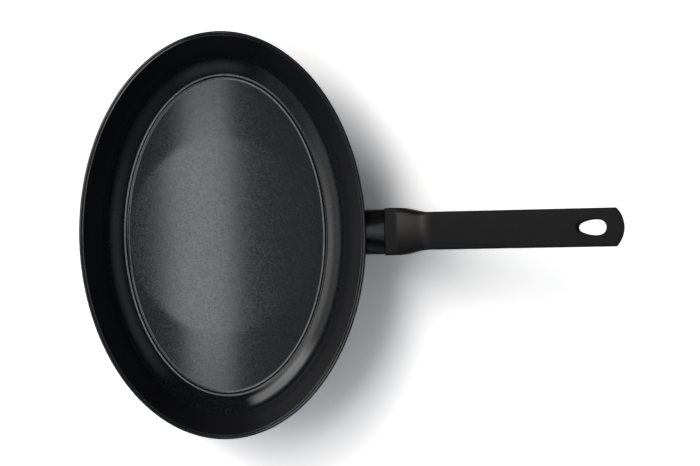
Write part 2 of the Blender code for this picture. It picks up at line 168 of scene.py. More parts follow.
# Sections are the middle of an oval that is wider than they are by the arch's factor, and a
# higher corner value joins its sides more tightly
GUARD_ARCH = 1.25
GUARD_CORNER = 20.0
GRIP_ARCH = 2.2
GRIP_CORNER = 15.0
SECTION_POINTS = 120

# Grip and sleeve meet on an upright cut, which fades out along the collar, and the grip's far
# end is cut upright as well
CUT_PIVOT = 0.0103
CUT_FADE = 0.0150
END_CUT_PIVOT = -0.0068
END_CUT_FADE = 0.0300

# Egg-shaped hang hole, its narrow end towards the pan
HOLE_FROM_END = 0.0174
HOLE_WIDE_RADIUS = 0.0061
HOLE_NARROW_RADIUS = 0.0038
HOLE_SPAN = 0.0140
HOLE_SIDE_RADIUS = 0.0280
HOLE_LIP_ROUND = 0.0018
HOLE_FACET = math.radians(6)
HOLE_SIDE_FACET = math.radians(2.5)
HOLE_LIP_STEPS = 9
HOLE_LIP_START = math.radians(12)

# Ways through the grip for the bracket's stem and for the screw and its head
STEM_WIDTH = 0.0130
STEM_HEIGHT = 0.0120
SOCKET_DEPTH = 0.0065
BORE_RADIUS = 0.0028
COUNTERBORE_RADIUS = 0.0048
HEAD_DEPTH_IN_BORE = 0.0120
BORE_SEGMENTS = 48

# In all finishes a noise is given by its scale, detail and roughness, without the scale where the
# piece has its own, and shades are factors for the darkest and the palest colour. Roughness
# follows the noise over its middle range.
NOISE_RANGE = (0.3, 0.7)

# Non-stick coating: a pattern of cells, of which a share holds a pale fleck, on a dark ground that
# varies slowly. Roughness varies from cell to cell, and steep parts are duller, and paler by a painted
# sheen.
COATING_IOR = 1.33
COATING_COLOURS = ((0.0056, 0.0064, 0.0080), (0.0072, 0.0080, 0.0098))
COATING_NOISE = (38.0, 3.0)
COATING_ROUGHNESS = (0.030, 0.092)
CELL_SCALE = 1250.0
FLECK_SHARE = 0.50
FLECK_COLOUR = (0.028, 0.030, 0.033)
FLECK_EDGE = (0.22, 0.50)
STEEP_FACING = (0.42, 0.66)
# Painted sheen: the paler colour that steep parts take
PAINTED_SHEEN_COLOUR = (0.0104, 0.0107, 0.0122)
STEEP_DULLNESS = 0.16
PEEL_NOISE = (1100.0, 2.0, 0.6)
PEEL_DEPTH = 0.0000018

# Sleeve and grip: colour, scale and depth of the grain, and index of refraction. The grip is
# smoother from one X to another, each with its blur.
PAINT = ((0.0030, 0.0030, 0.0036), 1500.0, 0.000002, 1.30)
PAINT_ROUGHNESS = (0.15, 0.21)
SOFT_TOUCH = ((0.0088, 0.0088, 0.0090), 2600.0, 0.000006, 1.20)
MATT_ROUGHNESS = 0.68
SMOOTH_ROUGHNESS = 0.26
SMOOTH_START = (0.1445, 0.0010)
SMOOTH_END = (0.1700, 0.0045)
UNEVEN_NOISE = (45.0, 3.0)
UNEVEN_SHADES = (0.85, 1.15)
GRAIN_NOISE = (3.0, 0.6)

# Turned metals: colour, roughness and pitch of the rings, which scratches wear
METAL_IOR = 1.45
FACED_ALUMINIUM = ((0.78, 0.79, 0.80), 0.30, 0.0005)
GROUND_STEEL = ((0.56, 0.55, 0.53), 0.26, 0.0003)
TURNED_SHADES = (0.86, 1.08)
TURNED_ROUGHNESS_CHANGE = (-0.07, 0.10)
RING_NOISE = (4.0, 0.7)
RING_DEPTH = 0.000025
SCRATCH_NOISE = (220.0, 6.0, 0.7)
SCRATCH_WEAR = (0.85, 1.15)

# Cast and plated metals: colour, roughness, and scale and depth of the grain
CAST_ALUMINIUM = ((0.60, 0.61, 0.62), 0.45, 900.0, 0.00006)
BRIGHT_ALUMINIUM = ((0.74, 0.75, 0.76), 0.30, 1400.0, 0.00002)
ZINC_PLATE = ((0.62, 0.63, 0.62), 0.28, 1800.0, 0.00002)
DULL_NOISE = (160.0, 4.0)
DULL_SHADES = (0.82, 1.0)
DULL_ROUGHNESS_CHANGE = (-0.06, 0.08)
PITTED_NOISE = (5.0, 0.65)

# Places of the colours among the sockets of a mix node
MIX_INPUTS = (6, 7)
MIX_OUTPUT = 2

# A face of the base counts as level when its normal is this upright
LEVEL_ABOVE = 0.99

# Camera, straight above a point between the pan and the grip
CAMERA_PLACE = (0.106, -0.00045, 1.55)
CAMERA_TURN = math.radians(-1.2)
CAMERA_LENS = 92.8
CAMERA_SENSOR = 36
CAMERA_REACH = 50

# Bright parts of the room: radiance, middle and half width in azimuth, its blur, lowest and
# highest elevation and their blur, in degrees, azimuth from +X towards +Y, and colour
ROOM_PATCHES = (
    (6.5, 133.5, 19.5, 6, 18.0, 41.5, 6, (1.0, 0.99, 0.97)),
    (1.5, 170, 30, 14, 15, 36, 7, (1.0, 0.97, 0.94)),
    (3.8, 161, 32, 14, 36, 60, 7, (1.0, 0.98, 0.96)),
    (0.55, 214, 21.5, 12, 6, 67, 10, (0.93, 0.96, 1.0)),
    (0.85, 274, 25, 12, 22, 50, 14, (0.93, 0.96, 1.0)),
    (0.38, 322, 19.5, 14, 19, 56, 14, (0.93, 0.96, 1.0)),
    (0.78, 12.5, 28.5, 12, 23, 49, 12, (0.92, 0.96, 1.06)),
)
ROOM_LEVEL = 0.02

# What only shiny surfaces mirror overhead: a pale ceiling, a warm panel, and a long lamp just
# beside the zenith. Its places are given as distance along X or Y over height. The main part and
# the longer rest have a share of its radiance, a reach along Y and a blur.
OVERHEAD_PATCHES = (
    (0.70, 0, 200, 1, 78, 100, 6, (0.90, 0.98, 1.06)),
    (9.6, 152, 27, 5, 60, 79, 3, (1.0, 0.95, 0.90)),
)
STRIP_RADIANCE = 9.0
STRIP_COLOUR = (0.97, 1.0, 1.0)
STRIP_X = (-0.0912, -0.0665)
STRIP_X_BLUR = 0.0055
STRIP_MAIN = (0.52, 0.065, 0.045)
STRIP_REST = (0.48, 0.320, 0.050)

# Least height by which a direction's sideways parts are divided, and half a turn in degrees
LOWEST_RISE = 0.01
HALF_TURN = 180.0

# A white floor that shows brighter to the camera, as a long exposure shows white paper
FLOOR_HALF_SIZE = 6.0
FLOOR_EXPOSURE = 1.8

# Angles of an arc's lowest and highest point
LOWEST = 1.5 * math.pi
HIGHEST = math.pi / 2


def arc(centre, radius, start, end, facet):
    """Points on an arc, angles in radians, both ends included."""
    steps = max(1, math.ceil(abs(end - start) / facet))
    angles = [start + (end - start) * i / steps for i in range(steps + 1)]
    return [(centre[0] + radius * math.cos(a), centre[1] + radius * math.sin(a)) for a in angles]


def behind(point, radius, slope):
    """Centre of a hollow arc of this radius that passes the point with this slope."""
    return (point[0] + radius * math.sin(slope), point[1] + radius * math.cos(slope))


def touch_angle(point, centre, radius):
    """Angle at which a line from point touches the far lower side of a circle."""
    away = (point[0] - centre[0], point[1] - centre[1])
    return math.atan2(away[1], away[0]) + math.acos(radius / math.hypot(*away))


def between(start, end, share):
    return tuple(a + (b - a) * share for a, b in zip(start, end))


def straight(start, end, steps):
    """Points between two ends, both left out."""
    return [between(start, end, i / steps) for i in range(1, steps)]


def ease(share):
    """Zero to one with level ends, held beyond them."""
    share = min(max(share, 0.0), 1.0)
    return share * share * (3 - 2 * share)


def outer_corner_centre():
    return (BASE_INSET, OUTER_CORNER_RADIUS)


def rim_outer_edge():
    return (0.0, PAN_HEIGHT - OUTER_EDGE_BELOW_RIM)


def outer_touch():
    return touch_angle(rim_outer_edge(), outer_corner_centre(), OUTER_CORNER_RADIUS)


def outer_side():
    """Outside of the pan from the base's edge up to the rim, as (inset, height)."""
    corner = arc(outer_corner_centre(), OUTER_CORNER_RADIUS, LOWEST, outer_touch(), WIDE_FACET)
    return corner + straight(corner[-1], rim_outer_edge(), OUTER_WALL_STEPS)


def rim_top():
    """Outer bead, valley and inner bead."""
    bead_centre = (OUTER_BEAD_RADIUS, PAN_HEIGHT - OUTER_BEAD_RADIUS)
    outer = arc(bead_centre, OUTER_BEAD_RADIUS, math.pi, OUTER_BEAD_END, TIGHT_FACET)
    inner_centre = (INNER_BEAD_INSET, PAN_HEIGHT - INNER_BEAD_BELOW_TOP - INNER_BEAD_RADIUS)
    inner = arc(inner_centre, INNER_BEAD_RADIUS, INNER_BEAD_START, 0, TIGHT_FACET)
    valley = (VALLEY_INSET, PAN_HEIGHT - VALLEY_BELOW_TOP)
    return [rim_outer_edge()] + outer + [valley] + inner


def inner_side():
    """Inside of the pan from the rim down the wall and the cove, through the groove to the floor."""
    top = rim_top()[-1]
    cove_end = (COVE_END_INSET, BASE_THICKNESS + COVE_END_ABOVE_BASE)
    cove_centre = behind(cove_end, COVE_RADIUS, COVE_END_SLOPE)
    cove_start_angle, cove_end_angle = LOWEST - FILLET_END_SLOPE, LOWEST - COVE_END_SLOPE
    cove = arc(cove_centre, COVE_RADIUS, cove_start_angle, cove_end_angle, WIDE_FACET / 2)
    fillet_centre = behind(cove[0], FILLET_RADIUS, FILLET_END_SLOPE)
    wall_end = touch_angle(top, fillet_centre, FILLET_RADIUS)
    fillet = arc(fillet_centre, FILLET_RADIUS, wall_end, cove_start_angle, WIDE_FACET)
    ledge_centre = behind(cove[-1], LEDGE_ROUND, COVE_END_SLOPE)
    ledge = arc(ledge_centre, LEDGE_ROUND, cove_end_angle, LOWEST - LEDGE_SLOPE, TIGHT_FACET / 2)
    ledge_drop = (LEDGE_END_INSET - ledge[-1][0]) * math.tan(LEDGE_SLOPE)
    groove_start = (LEDGE_END_INSET, ledge[-1][1] - ledge_drop)
    groove_centre = behind(groove_start, GROOVE_ROUND, GROOVE_DROP_SLOPE)
    drop_angle, rise_angle = LOWEST - GROOVE_DROP_SLOPE, LOWEST + GROOVE_RISE_SLOPE
    groove = arc(groove_centre, GROOVE_ROUND, drop_angle, rise_angle, TIGHT_FACET)
    slope = math.atan(FLOOR_EDGE_SLOPE)
    edge_centre = (
        FLOOR_INSET - FLOOR_EDGE_ROUND * math.sin(slope),
        floor_edge_height() - FLOOR_EDGE_ROUND * math.cos(slope),
    )
    edge_start_angle, edge_end_angle = HIGHEST + GROOVE_RISE_SLOPE, HIGHEST - slope
    edge = arc(edge_centre, FLOOR_EDGE_ROUND, edge_start_angle, edge_end_angle, WIDE_FACET * 2)
    wall = straight(top, fillet[0], INNER_WALL_STEPS)
    level = straight(ledge[-1], groove_start, LEDGE_STEPS)
    return wall + fillet + cove[1:] + ledge[1:] + level + groove + edge


def edge_height(inset):
    """Height of the sloping band along the floor's edge, which fades into the floor."""
    left = FLOOR_INSET + FLOOR_EDGE_WIDTH + FLOOR_EDGE_FADE - inset
    if left > FLOOR_EDGE_FADE:
        return FLOOR_EDGE_SLOPE * (left - FLOOR_EDGE_FADE / 2)
    return FLOOR_EDGE_SLOPE * max(left, 0) ** 2 / (2 * FLOOR_EDGE_FADE)


def floor_edge_height():
    """Height at which the floor's band starts."""
    return BASE_THICKNESS + FLOOR_RISE + edge_height(FLOOR_INSET)


def floor_height(x, y, inset):
    """The cooking floor: a band that slopes along its edge, and the hollow round zone."""
    inside = 1 - (math.hypot(x - DISH_CENTRE_X, y) / DISH_RADIUS) ** 2
    hollow = (inside + math.hypot(inside, DISH_SOFTNESS)) / 2
    return BASE_THICKNESS + FLOOR_RISE + edge_height(inset) - DISH_DEPTH * hollow


def oval_point(turn, inset):
    return (HALF_WIDTH - inset) * math.cos(turn), (HALF_LENGTH - inset) * math.sin(turn)


def turns():
    return [math.tau * i / PAN_SEGMENTS for i in range(PAN_SEGMENTS)]


def side_rings():
    """Rings of the pan's outside, rim and inside, down to the floor's edge."""
    rings = []
    for inset, height in outer_side() + rim_top() + inner_side():
        rings.append([(*oval_point(turn, inset), height) for turn in turns()])
    return rings


def floor_rings():
    """Rings of the cooking floor, from its edge towards the middle."""
    rings = []
    for step in range(1, EDGE_ZONE_RINGS + 1):
        inset = FLOOR_INSET + (EDGE_ZONE_INSET - FLOOR_INSET) * step / EDGE_ZONE_RINGS
        places = [oval_point(turn, inset) for turn in turns()]
        rings.append([(x, y, floor_height(x, y, inset)) for x, y in places])
    for ring in range(FLOOR_RINGS - 1, 0, -1):
        share = ring / FLOOR_RINGS
        places = [oval_point(turn, EDGE_ZONE_INSET) for turn in turns()]
        scaled = [(x * share, y * share) for x, y in places]
        rings.append([(x, y, floor_height(x, y, EDGE_ZONE_INSET)) for x, y in scaled])
    return rings


def on_circle(radius, turn):
    return radius * math.cos(turn), radius * math.sin(turn)


def recess_radius():
    return DISC_RADIUS + DISC_FIT


def recess_height():
    return DISC_THICKNESS + DISC_FIT


def base_rings():
    """Flat base from the disc's recess out to the oval edge, the recess's wall first."""
    circle = [on_circle(recess_radius(), turn) for turn in turns()]
    edge = [oval_point(turn, BASE_INSET) for turn in turns()]
    rings = [[(x, y, height) for x, y in circle] for height in (recess_height(), DISC_CHAMFER)]
    for step in range(BASE_RINGS):
        share = step / BASE_RINGS
        ring = [between(near, far, share) for near, far in zip(circle, edge)]
        rings.append([(x, y, 0.0) for x, y in ring])
    return rings


def disc_hole_places():
    """Middles of the disc's holes, ring by ring, every other ring turned by half a step."""
    places = []
    for ring in range(1, DISC_RINGS + 1):
        count = DISC_HOLES_IN_FIRST_RING * ring
        for i in range(count):
            turn = math.tau * (i + 0.5 * (ring % 2)) / count
            places.append(on_circle(DISC_RING_SPACING * ring, turn))
    return places


def loop_edges(bm, loop):
    """New edges round a loop of points."""
    return [bm.edges.new((loop[i], loop[(i + 1) % len(loop)])) for i in range(len(loop))]


def circle_loop(bm, place, radius, height, segments):
    """New points on a level circle."""
    points = [on_circle(radius, math.tau * i / segments) for i in range(segments)]
    return [bm.verts.new((place[0] + x, place[1] + y, height)) for x, y in points]


def skin(bm, loops):
    """Faces between following loops of equally many points."""
    for near, far in zip(loops, loops[1:]):
        for i in range(len(near)):
            j = (i + 1) % len(near)
            bm.faces.new((near[i], near[j], far[j], far[i]))


def new_object(name, data):
    obj = bpy.data.objects.new(name, data)
    bpy.context.scene.collection.objects.link(obj)
    return obj


def smooth(mesh):
    """Smooth shading, with the steeper edges kept sharp."""
    mesh.shade_smooth()
    mesh.set_sharp_from_angle(angle=SHARP_ABOVE)


def finish_mesh(name, bm):
    """Turns the built faces into an object."""
    bmesh.ops.remove_doubles(bm, verts=bm.verts, dist=WELD_DISTANCE)
    bmesh.ops.recalc_face_normals(bm, faces=bm.faces)
    mesh = bpy.data.meshes.new(name)
    bm.to_mesh(mesh)
    bm.free()
    smooth(mesh)
    return new_object(name, mesh)


def make_pan():
    """The pan as one closed skin, with the pins of its base that fill the disc's holes."""
    bm = bmesh.new()
    rings = base_rings() + side_rings() + floor_rings()
    loops = [[bm.verts.new(point) for point in ring] for ring in rings]
    skin(bm, loops)
    middle = bm.verts.new((0, 0, floor_height(0, 0, EDGE_ZONE_INSET)))
    last = loops[-1]
    for i in range(len(last)):
        bm.faces.new((last[i], last[(i + 1) % len(last)], middle))
    edges = [bm.edges.get((loops[0][i], loops[0][i - 1])) for i in range(PAN_SEGMENTS)]
    pin_radius = DISC_HOLE_RADIUS - DISC_FIT
    for place in disc_hole_places():
        pin = [
            circle_loop(bm, place, pin_radius, recess_height(), HOLE_SEGMENTS),
            circle_loop(bm, place, pin_radius, DISC_CHAMFER, HOLE_SEGMENTS),
            circle_loop(bm, place, pin_radius - DISC_CHAMFER, 0, HOLE_SEGMENTS),
        ]
        edges += loop_edges(bm, pin[0])
        skin(bm, pin)
        bm.faces.new(pin[-1])
    bmesh.ops.triangle_fill(bm, use_beauty=True, edges=edges)
    return finish_mesh("coated_pan", bm)


def make_disc():
    """Perforated disc, its lower edges broken."""
    bm = bmesh.new()
    sides = [((0, 0), DISC_RADIUS, -DISC_CHAMFER, PAN_SEGMENTS // 2)]
    sides += [(place, DISC_HOLE_RADIUS, DISC_CHAMFER, HOLE_SEGMENTS) for place in disc_hole_places()]
    under, over = [], []
    for place, radius, chamfer, segments in sides:
        side = [
            circle_loop(bm, place, radius + chamfer, 0, segments),
            circle_loop(bm, place, radius, DISC_CHAMFER, segments),
            circle_loop(bm, place, radius, DISC_THICKNESS, segments),
        ]
        under += loop_edges(bm, side[0])
        over += loop_edges(bm, side[-1])
        skin(bm, side)
    for edges in (under, over):
        bmesh.ops.triangle_fill(bm, use_beauty=True, edges=edges)
    return finish_mesh("disc_plate", bm)


def inset_at(height):
    """Inset of the pan's outside at a height, on its corner or its straight wall."""
    centre, touch = outer_corner_centre(), outer_touch()
    touch_height = centre[1] + OUTER_CORNER_RADIUS * math.sin(touch)
    if height > touch_height:
        edge = rim_outer_edge()
        touch_inset = centre[0] + OUTER_CORNER_RADIUS * math.cos(touch)
        return touch_inset * (edge[1] - height) / (edge[1] - touch_height)
    drop = centre[1] - height
    return centre[0] - math.sqrt(max(OUTER_CORNER_RADIUS**2 - drop**2, 0))


def handle_matrix():
    """Places the handle's own axes: X along it, with its stations, and Z above it."""
    height = PAN_HEIGHT - ROOT_BELOW_RIM
    root = Vector((HALF_WIDTH - inset_at(height), 0, height))
    along = Vector((math.cos(HANDLE_RISE), 0, math.sin(HANDLE_RISE)))
    return Matrix.Translation(root + GUARD_LENGTH * along) @ Matrix.Rotation(-HANDLE_RISE, 4, "Y")


def section(station, half_width, above, below, arch=GRIP_ARCH, corner=GRIP_CORNER):
    """Cross-section of the handle: a wide oval's middle part between upright sides, softly joined."""
    ring = []
    for i in range(SECTION_POINTS):
        turn = math.tau * i / SECTION_POINTS
        across, up = arch * math.cos(turn), math.sin(turn)
        reach = above if up >= 0 else below
        trim = (1 + abs(across) ** corner) ** (-1 / corner)
        ring.append((station, half_width * across * trim, reach * up * trim))
    return ring


def guard_section(station, inset, rise):
    """Cross-section of the sleeve, whose upper half is higher by a share, or lower."""
    half_width, half_height = GUARD_WIDTH / 2 - inset, GUARD_HEIGHT / 2 - inset
    above = half_height * (1 + rise)
    return section(station, half_width, above, half_height, GUARD_ARCH, GUARD_CORNER)


def upright(ring, share=1.0, pivot=CUT_PIVOT):
    """Leans a section of the handle until it stands upright on the table, or by a share of that."""
    lean = math.tan(HANDLE_RISE) * share
    return [(s + (z - pivot) * lean, y, z) for s, y, z in ring]


def station_at_wall(point, place):
    """Station at which a line along the handle through this point meets the pan's outside."""
    low, high = -2 * GUARD_LENGTH, 0.0
    for _ in range(WALL_HALVINGS):
        middle = (low + high) / 2
        x, y, z = place @ Vector((middle, point[1], point[2]))
        inset = inset_at(z) - GUARD_TO_PAN
        outside = (x / (HALF_WIDTH - inset)) ** 2 + (y / (HALF_LENGTH - inset)) ** 2 > 1
        if outside:
            high = middle
        else:
            low = middle
    return high


def against_wall(ring, place):
    """Moves a ring's points along the handle onto the pan's outside."""
    return [(station_at_wall(point, place), *point[1:]) for point in ring]


def make_sleeve(place):
    """Sleeve whose near end follows the pan's wall and whose far end has a rounded lip."""
    bm = bmesh.new()
    lip = GUARD_LIP_ROUND
    near = against_wall(guard_section(0, 0, RISE_AT_PAN), place)
    far = upright(guard_section(-GAP - lip, 0, RISE_AT_GRIP))
    shares = [step / GUARD_STEPS for step in range(GUARD_STEPS + 1)]
    rings = [[between(*pair, share) for pair in zip(near, far)] for share in shares]
    for step in range(1, GUARD_LIP_STEPS + 1):
        turn = math.pi / 2 * step / GUARD_LIP_STEPS
        station, inset = -GAP - lip + lip * math.sin(turn), lip * (1 - math.cos(turn))
        rings.append(upright(guard_section(station, inset, RISE_AT_GRIP)))
    rings.append(upright(guard_section(-GAP, GUARD_WALL, RISE_AT_GRIP)))
    rings.append(against_wall(guard_section(0, GUARD_WALL, RISE_AT_PAN), place))
    loops = [[bm.verts.new(place @ Vector(point)) for point in ring] for ring in rings]
    skin(bm, loops + loops[:1])
    return finish_mesh("sleeve", bm)


def end_radius():
    """Radius of the grip's rounded end, seen from above."""
    half = WAIST_WIDTH / 2
    return (half**2 + END_BULGE**2) / (2 * END_BULGE)


def even_fall(share):
    """Rises evenly from a sharp start and rounds off into its end."""
    soft = TAPER_SOFT_SHARE
    steep = 1 / (1 - soft / 2)
    if share < 1 - soft:
        return steep * share
    return 1 - steep * (1 - share) ** 2 / (2 * soft)


def grip_size(station):
    """Half width, and reach above and below the axis, at a station of the grip."""
    slimming = ease((station - SLIMMING_START) / (TAPER_END - SLIMMING_START))
    share = min(max((station - COLLAR_LENGTH) / (TAPER_END - COLLAR_LENGTH), 0), 1)
    fall_above, fall_below = even_fall(share), ease(share)
    along = max(station - COLLAR_LENGTH, 0) / (GRIP_LENGTH - COLLAR_LENGTH)
    half_width = (GRIP_FRONT_WIDTH + (WAIST_WIDTH - GRIP_FRONT_WIDTH) * slimming) / 2
    waist_above = WAIST_ABOVE_AXIS + (END_ABOVE_AXIS - WAIST_ABOVE_AXIS) * along
    waist_below = WAIST_BELOW_AXIS + (END_BELOW_AXIS - WAIST_BELOW_AXIS) * along
    waist_below += BELLY * math.sin(math.pi * along)
    front = GRIP_FRONT_HEIGHT / 2
    above = front + (waist_above - front) * fall_above
    below = front + (waist_below - front) * fall_below
    from_arc_centre = station - (GRIP_LENGTH - end_radius())
    if from_arc_centre > 0:
        half_width = min(half_width, math.sqrt(max(end_radius() ** 2 - from_arc_centre**2, 0)))
    from_edge = (station - (GRIP_LENGTH - END_EDGE_ROUND)) / END_EDGE_ROUND
    if from_edge > 0:
        trim = END_EDGE_ROUND * (1 - math.sqrt(max(1 - from_edge**2, 0)))
        above, below = above - trim, below - trim
    return half_width, above, below


def grip_stations():
    """Stations of the grip, closest where its outline turns fastest."""
    collar_length, taper_length = COLLAR_LENGTH - GRIP_FRONT_ROUND, TAPER_END - COLLAR_LENGTH
    run_length = GRIP_LENGTH - END_BULGE - TAPER_END
    collar = [GRIP_FRONT_ROUND + collar_length * i / COLLAR_STEPS for i in range(COLLAR_STEPS)]
    taper = [COLLAR_LENGTH + taper_length * i / TAPER_STEPS for i in range(TAPER_STEPS + 1)]
    run = [TAPER_END + run_length * i / RUN_STEPS for i in range(1, RUN_STEPS)]
    corner_angle = math.asin(WAIST_WIDTH / 2 / end_radius())
    angles = [corner_angle * (1 - i / END_STEPS) for i in range(END_STEPS)]
    rounded_end = [GRIP_LENGTH - end_radius() * (1 - math.cos(angle)) for angle in angles]
    return collar + taper + run + rounded_end


def grip_rings():
    """Nose that enters the sleeve, the rounded shoulder that meets it, and the grip behind."""
    nose_inset = GUARD_WALL + GAP
    half_width, above, below = grip_size(0)
    rings = [
        guard_section(-NOSE_LENGTH, nose_inset + NOSE_CHAMFER, RISE_AT_GRIP),
        guard_section(NOSE_CHAMFER - NOSE_LENGTH, nose_inset, RISE_AT_GRIP),
        upright(guard_section(0, nose_inset, RISE_AT_GRIP)),
    ]
    for step in range(SHOULDER_STEPS):
        turn = math.pi / 2 * step / SHOULDER_STEPS
        in_by = GRIP_FRONT_ROUND * (1 - math.sin(turn))
        station = GRIP_FRONT_ROUND * (1 - math.cos(turn))
        rings.append(upright(section(station, half_width - in_by, above - in_by, below - in_by)))
    for station in grip_stations():
        ring = upright(section(station, *grip_size(station)), 1 - ease(station / CUT_FADE))
        end_share = ease(1 - (GRIP_LENGTH - END_BULGE - station) / END_CUT_FADE)
        rings.append(upright(ring, end_share, END_CUT_PIVOT))
    return rings


def solid_object(name, rings, place):
    """A closed solid through rings of the handle's own axes."""
    bm = bmesh.new()
    loops = [[bm.verts.new(place @ Vector(point)) for point in ring] for ring in rings]
    skin(bm, loops)
    bm.faces.new(loops[0])
    bm.faces.new(loops[-1])
    return finish_mesh(name, bm)


def cut(obj, cutters):
    """Takes the cutters out of obj, leaves the plain result on its mesh and removes them."""
    for cutter in cutters:
        modifier = obj.modifiers.new("cut", "BOOLEAN")
        modifier.operation = "DIFFERENCE"
        modifier.solver = "EXACT"
        modifier.object = cutter
    bpy.context.view_layer.update()
    evaluated = obj.evaluated_get(bpy.context.evaluated_depsgraph_get())
    mesh = bpy.data.meshes.new_from_object(evaluated)
    obj.modifiers.clear()
    obj.data = mesh
    for cutter in cutters:
        bpy.data.objects.remove(cutter)
    smooth(mesh)


def hole_centres():
    """Stations of the wide and the narrow end's centres."""
    wide = GRIP_LENGTH - HOLE_FROM_END
    return wide, wide - HOLE_SPAN


def hole_outline(spread):
    """Egg shape of the hang hole, grown by spread, as (station, side)."""
    wide, narrow = hole_centres()
    to_wide, to_narrow = HOLE_SIDE_RADIUS - HOLE_WIDE_RADIUS, HOLE_SIDE_RADIUS - HOLE_NARROW_RADIUS
    beside = (to_narrow**2 - to_wide**2 + HOLE_SPAN**2) / (2 * HOLE_SPAN)
    beyond = math.sqrt(to_narrow**2 - beside**2)
    wide_turn, narrow_turn = math.atan2(beyond, HOLE_SPAN - beside), math.atan2(beyond, -beside)
    runs = (
        ((wide, 0), HOLE_WIDE_RADIUS, -wide_turn, wide_turn, HOLE_FACET),
        ((narrow + beside, -beyond), HOLE_SIDE_RADIUS, wide_turn, narrow_turn, HOLE_SIDE_FACET),
        ((narrow, 0), HOLE_NARROW_RADIUS, narrow_turn, math.tau - narrow_turn, HOLE_FACET),
        ((narrow + beside, beyond), HOLE_SIDE_RADIUS, -narrow_turn, -wide_turn, HOLE_SIDE_FACET),
    )
    points = []
    for centre, radius, start, end, facet in runs:
        points += arc(centre, radius + spread, start, end, facet)[:-1]
    return points


def surface_reach(station, side):
    """How far the grip's skin lies above and below the axis at a point of its plan."""
    half_width, above, below = grip_size(station)
    share = min(abs(side / half_width), 1.0)
    trim = (1 - share**GRIP_CORNER) ** (1 / GRIP_CORNER)
    fullness = math.sqrt(max(trim**2 - (share / GRIP_ARCH) ** 2, 0))
    return above * fullness, below * fullness


def hole_rings():
    """Rings of the cutter for the hang hole, whose lips blend into the grip's skin."""
    rise = math.pi / 2 - HOLE_LIP_START
    angles = [HOLE_LIP_START + rise * i / HOLE_LIP_STEPS for i in range(HOLE_LIP_STEPS + 1)]
    lip = [(HOLE_LIP_ROUND * (1 - math.sin(a)), HOLE_LIP_ROUND * (1 - math.cos(a))) for a in angles]
    under, over = [], []
    for spread, depth in lip:
        outline = hole_outline(spread)
        over.append([(s, y, surface_reach(s, y)[0] - depth) for s, y in outline])
        under.append([(s, y, depth - surface_reach(s, y)[1]) for s, y in outline])
    outside = hole_outline(lip[0][0] + HOLE_LIP_ROUND * math.tan(HOLE_LIP_START))
    far = 2 * WAIST_ABOVE_AXIS  # well outside the grip
    top = [(s, y, far) for s, y in outside]
    bottom = [(s, y, -far) for s, y in outside]
    return [bottom] + under + list(reversed(over)) + [top]


def bore_rings(profile):
    """Rings of a round cutter along the handle's axis, from (station, radius) pairs."""
    rings = []
    for station, radius in profile:
        turned = [math.tau * i / BORE_SEGMENTS for i in range(BORE_SEGMENTS)]
        rings.append([(station, *on_circle(radius, turn)) for turn in turned])
    return rings


def box_rings(low, high):
    """End rings of a box along the handle, from its lowest and highest corner."""
    corners = [(low[1], low[2]), (high[1], low[2]), (high[1], high[2]), (low[1], high[2])]
    return [[(station, y, z) for y, z in corners] for station in (low[0], high[0])]


def make_grip(place):
    """The grip with its socket, its screw's bore and counterbore, and its hang hole."""
    grip = solid_object("grip", grip_rings(), place)
    half_width, half_height = STEM_WIDTH / 2 + GAP, STEM_HEIGHT / 2 + GAP
    socket_start, socket_end = -2 * NOSE_LENGTH, SOCKET_DEPTH + GAP
    socket = box_rings((socket_start, -half_width, -half_height), (socket_end, half_width, half_height))
    narrow = hole_centres()[1]
    seat = narrow - HOLE_NARROW_RADIUS - HEAD_DEPTH_IN_BORE
    bore = bore_rings([
        (-NOSE_LENGTH, BORE_RADIUS),
        (seat, BORE_RADIUS),
        (seat, COUNTERBORE_RADIUS),
        (narrow, COUNTERBORE_RADIUS),
    ])
    cutters = {"stem_socket": socket, "screw_bore": bore, "hang_hole": hole_rings()}
    cut(grip, [solid_object(name, rings, place) for name, rings in cutters.items()])
    return grip


def material(name, **values):
    """A material with plain values on its shader, its colour and roughness still to be linked."""
    made = bpy.data.materials.new(name)
    made.use_nodes = True
    for key, value in values.items():
        made.node_tree.nodes["Principled BSDF"].inputs[key].default_value = value
    return made


def add(tree, kind, inputs=None, **settings):
    """A node with its settings, its inputs given as values or as sockets to link."""
    node = tree.nodes.new(kind)
    for key, value in settings.items():
        setattr(node, key, value)
    for key, value in (inputs or {}).items():
        if isinstance(value, bpy.types.NodeSocket):
            tree.links.new(value, node.inputs[key])
        else:
            node.inputs[key].default_value = value
    return node


def place_socket(tree):
    return add(tree, "ShaderNodeTexCoord").outputs["Object"]


def noise(tree, place, scale, detail, roughness=0.5):
    inputs = {"Vector": place, "Scale": scale, "Detail": detail, "Roughness": roughness}
    return add(tree, "ShaderNodeTexNoise", inputs).outputs["Fac"]


def ramp(tree, value, low, high, from_low=0.0, from_high=1.0):
    """Maps a range of value onto low to high, held at the ends."""
    inputs = {"Value": value, "From Min": from_low, "From Max": from_high, "To Min": low, "To Max": high}
    return add(tree, "ShaderNodeMapRange", inputs).outputs["Result"]


def soft_step(tree, value, edge, blur):
    """Zero below an edge and one above it, with a soft change."""
    inputs = {"Value": value, "From Min": edge - blur, "From Max": edge + blur}
    made = add(tree, "ShaderNodeMapRange", inputs, interpolation_type="SMOOTHSTEP")
    return made.outputs["Result"]


def math_node(tree, operation, first, second=0.0):
    made = add(tree, "ShaderNodeMath", {0: first, 1: second}, operation=operation)
    return made.outputs["Value"]


def soft_span(tree, value, low, high, blur):
    """One between low and high, and zero beyond, with soft ends."""
    rise = soft_step(tree, value, low, blur)
    fall = soft_step(tree, value, high, blur)
    return math_node(tree, "SUBTRACT", rise, fall)


